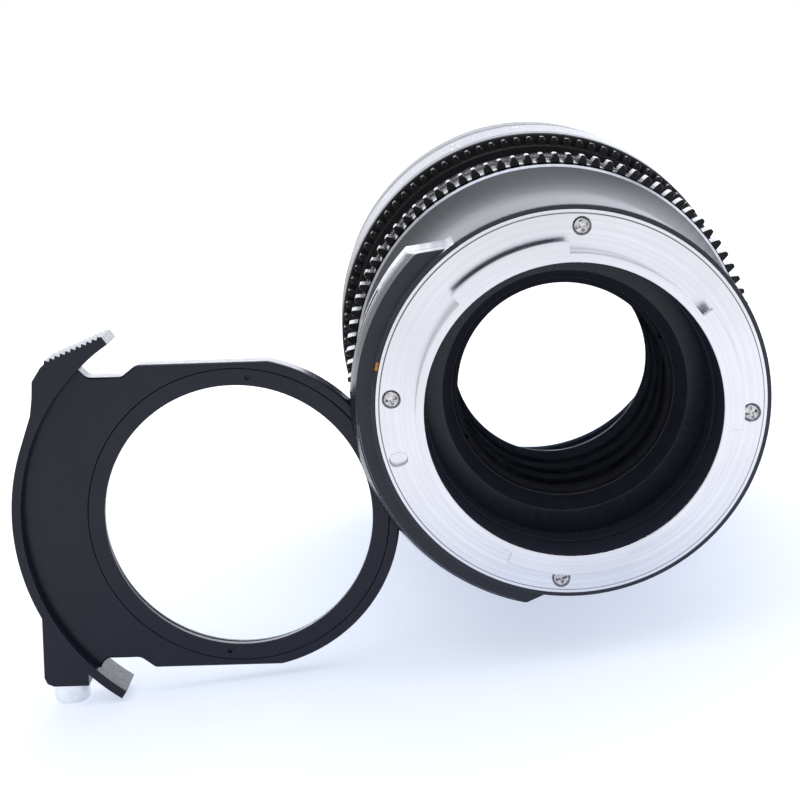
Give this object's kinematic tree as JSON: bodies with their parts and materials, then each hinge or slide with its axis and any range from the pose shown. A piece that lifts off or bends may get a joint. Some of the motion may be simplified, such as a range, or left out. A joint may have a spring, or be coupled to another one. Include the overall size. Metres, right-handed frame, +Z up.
{
  "type": "cinema prime lens",
  "caption": "Black cinema prime lens with a steel bayonet mount, geared iris and focus rings, and a drop-in filter tray drawn out of its side slot.",
  "frame": {"origin": "centre of the camera flange's seat plane, on the lens axis", "axes": "+Y along the lens axis towards the front glass, so the mount faces -Y; +Z up, away from the floor that the lens lies on; +X to the right as seen from the mount side"},
  "size_m": [0.1362, 0.1157, 0.0829],
  "materials": {
    "mount_steel": "satin, turned",
    "screw_steel": "bright",
    "shim_brass": "rolled",
    "dot_paint": "enamel",
    "housing_black": "black anodised",
    "barrel_black": "black anodised",
    "inner_black": "matt black",
    "lens_glass": "coated, polished",
    "iris_metal": "black anodised",
    "blade_black": "matt black",
    "cam_brass": "turned",
    "tray_black": "black anodised",
    "filter_clear": "polished",
    "button_chrome": "bright",
    "spring_steel": "drawn wire"
  },
  "bodies": {
    "lens_body": {"mount_bayonet": "mount_steel", "mount_screws": "screw_steel", "mount_shim": "shim_brass", "rear_plate": "housing_black", "mount_index_dot": "dot_paint", "slot_body": "housing_black", "rear_barrel": "barrel_black", "inner_barrel": "inner_black", "rear_cell": "inner_black", "rear_cell_ring": "inner_black", "rear_element": "lens_glass", "rear_spacer": "inner_black", "relay_element": "lens_glass", "relay_spacer": "inner_black", "stop_element": "lens_glass", "iris_base": "iris_metal", "iris_keeper": "iris_metal", "index_barrel": "barrel_black", "front_barrel": "barrel_black", "front_bezel": "inner_black"},
    "iris_control": {"iris_ring": "barrel_black", "iris_rotor": "iris_metal", "iris_key": "screw_steel"},
    "focus_control": {"focus_ring": "barrel_black", "focus_cam": "cam_brass"},
    "focus_group": {"focus_cell": "inner_black", "cam_followers": "cam_brass", "front_element": "lens_glass", "front_spacer": "inner_black", "second_element": "lens_glass", "front_cell_ring": "inner_black", "inner_element": "lens_glass", "inner_cell_ring": "inner_black"},
    "filter": {"filter_glass": "filter_clear"},
    "filter_tray": {"tray_frame": "tray_black", "tray_ring": "tray_black", "tray_grip": "tray_black", "button_spring": "spring_steel"},
    "tray_button": {"release_button": "button_chrome"},
    "blade_1": {"iris_blade_1": "blade_black"},
    "blade_2": {"iris_blade_2": "blade_black"},
    "blade_3": {"iris_blade_3": "blade_black"},
    "blade_4": {"iris_blade_4": "blade_black"},
    "blade_5": {"iris_blade_5": "blade_black"},
    "blade_6": {"iris_blade_6": "blade_black"},
    "blade_7": {"iris_blade_7": "blade_black"},
    "blade_8": {"iris_blade_8": "blade_black"},
    "blade_9": {"iris_blade_9": "blade_black"},
    "blade_10": {"iris_blade_10": "blade_black"}
  },
  "joints": [
    {"name": "iris_turn", "type": "hinge", "parent": "lens_body", "child": "iris_control", "pos_m": [0, 0.045, 0], "axis": [0, -1, 0], "range_deg": [0, 72]},
    {"name": "focus_turn", "type": "hinge", "parent": "lens_body", "child": "focus_control", "pos_m": [0, 0.083, 0], "axis": [0, 1, 0], "range_deg": [0, 300]},
    {"name": "focus_slide", "type": "slide", "parent": "lens_body", "child": "focus_group", "axis": [0, 1, 0], "range_m": [0, 0.009]},
    {"name": "tray_slide", "type": "slide", "parent": "lens_body", "child": "filter", "axis": [0.9763, 0, 0.2164], "range_m": [0, 0.0587]},
    {"name": "tray_square", "type": "hinge", "parent": "filter", "child": "filter_tray", "pos_m": [-0.05731, 0.0091, -0.0127], "axis": [0, -1, 0], "range_deg": [0, 18.8]},
    {"name": "button_press", "type": "slide", "parent": "filter_tray", "child": "tray_button", "axis": [0.1097, 0, 0.994], "range_m": [0, 0.0018], "stiffness_N_per_m": 900, "springref_m": -0.003, "deforming": ["button_spring"]},
    {"name": "blade_1_swing", "type": "hinge", "parent": "lens_body", "child": "blade_1", "pos_m": [0.0284, 0.0455, 0], "axis": [0, -1, 0], "range_deg": [0, 30]},
    {"name": "blade_2_swing", "type": "hinge", "parent": "lens_body", "child": "blade_2", "pos_m": [0.02298, 0.0455, 0.01669], "axis": [0, -1, 0], "range_deg": [0, 30]},
    {"name": "blade_3_swing", "type": "hinge", "parent": "lens_body", "child": "blade_3", "pos_m": [0.00878, 0.0455, 0.02701], "axis": [0, -1, 0], "range_deg": [0, 30]},
    {"name": "blade_4_swing", "type": "hinge", "parent": "lens_body", "child": "blade_4", "pos_m": [-0.00878, 0.0455, 0.02701], "axis": [0, -1, 0], "range_deg": [0, 30]},
    {"name": "blade_5_swing", "type": "hinge", "parent": "lens_body", "child": "blade_5", "pos_m": [-0.02298, 0.0455, 0.01669], "axis": [0, -1, 0], "range_deg": [0, 30]},
    {"name": "blade_6_swing", "type": "hinge", "parent": "lens_body", "child": "blade_6", "pos_m": [-0.0284, 0.0455, 0], "axis": [0, -1, 0], "range_deg": [0, 30]},
    {"name": "blade_7_swing", "type": "hinge", "parent": "lens_body", "child": "blade_7", "pos_m": [-0.02298, 0.0455, -0.01669], "axis": [0, -1, 0], "range_deg": [0, 30]},
    {"name": "blade_8_swing", "type": "hinge", "parent": "lens_body", "child": "blade_8", "pos_m": [-0.00878, 0.0455, -0.02701], "axis": [0, -1, 0], "range_deg": [0, 30]},
    {"name": "blade_9_swing", "type": "hinge", "parent": "lens_body", "child": "blade_9", "pos_m": [0.00878, 0.0455, -0.02701], "axis": [0, -1, 0], "range_deg": [0, 30]},
    {"name": "blade_10_swing", "type": "hinge", "parent": "lens_body", "child": "blade_10", "pos_m": [0.02298, 0.0455, -0.01669], "axis": [0, -1, 0], "range_deg": [0, 30]}
  ],
  "couplings": [
    {"joint": "focus_slide", "follows": "focus_turn", "m_per_rad": 0.0017189},
    {"joint": "tray_square", "follows": "tray_slide", "rad_per_m": 5.5898},
    {"joint": "blade_1_swing", "follows": "iris_turn", "ratio": 0.41667},
    {"joint": "blade_2_swing", "follows": "iris_turn", "ratio": 0.41667},
    {"joint": "blade_3_swing", "follows": "iris_turn", "ratio": 0.41667},
    {"joint": "blade_4_swing", "follows": "iris_turn", "ratio": 0.41667},
    {"joint": "blade_5_swing", "follows": "iris_turn", "ratio": 0.41667},
    {"joint": "blade_6_swing", "follows": "iris_turn", "ratio": 0.41667},
    {"joint": "blade_7_swing", "follows": "iris_turn", "ratio": 0.41667},
    {"joint": "blade_8_swing", "follows": "iris_turn", "ratio": 0.41667},
    {"joint": "blade_9_swing", "follows": "iris_turn", "ratio": 0.41667},
    {"joint": "blade_10_swing", "follows": "iris_turn", "ratio": 0.41667}
  ]
}
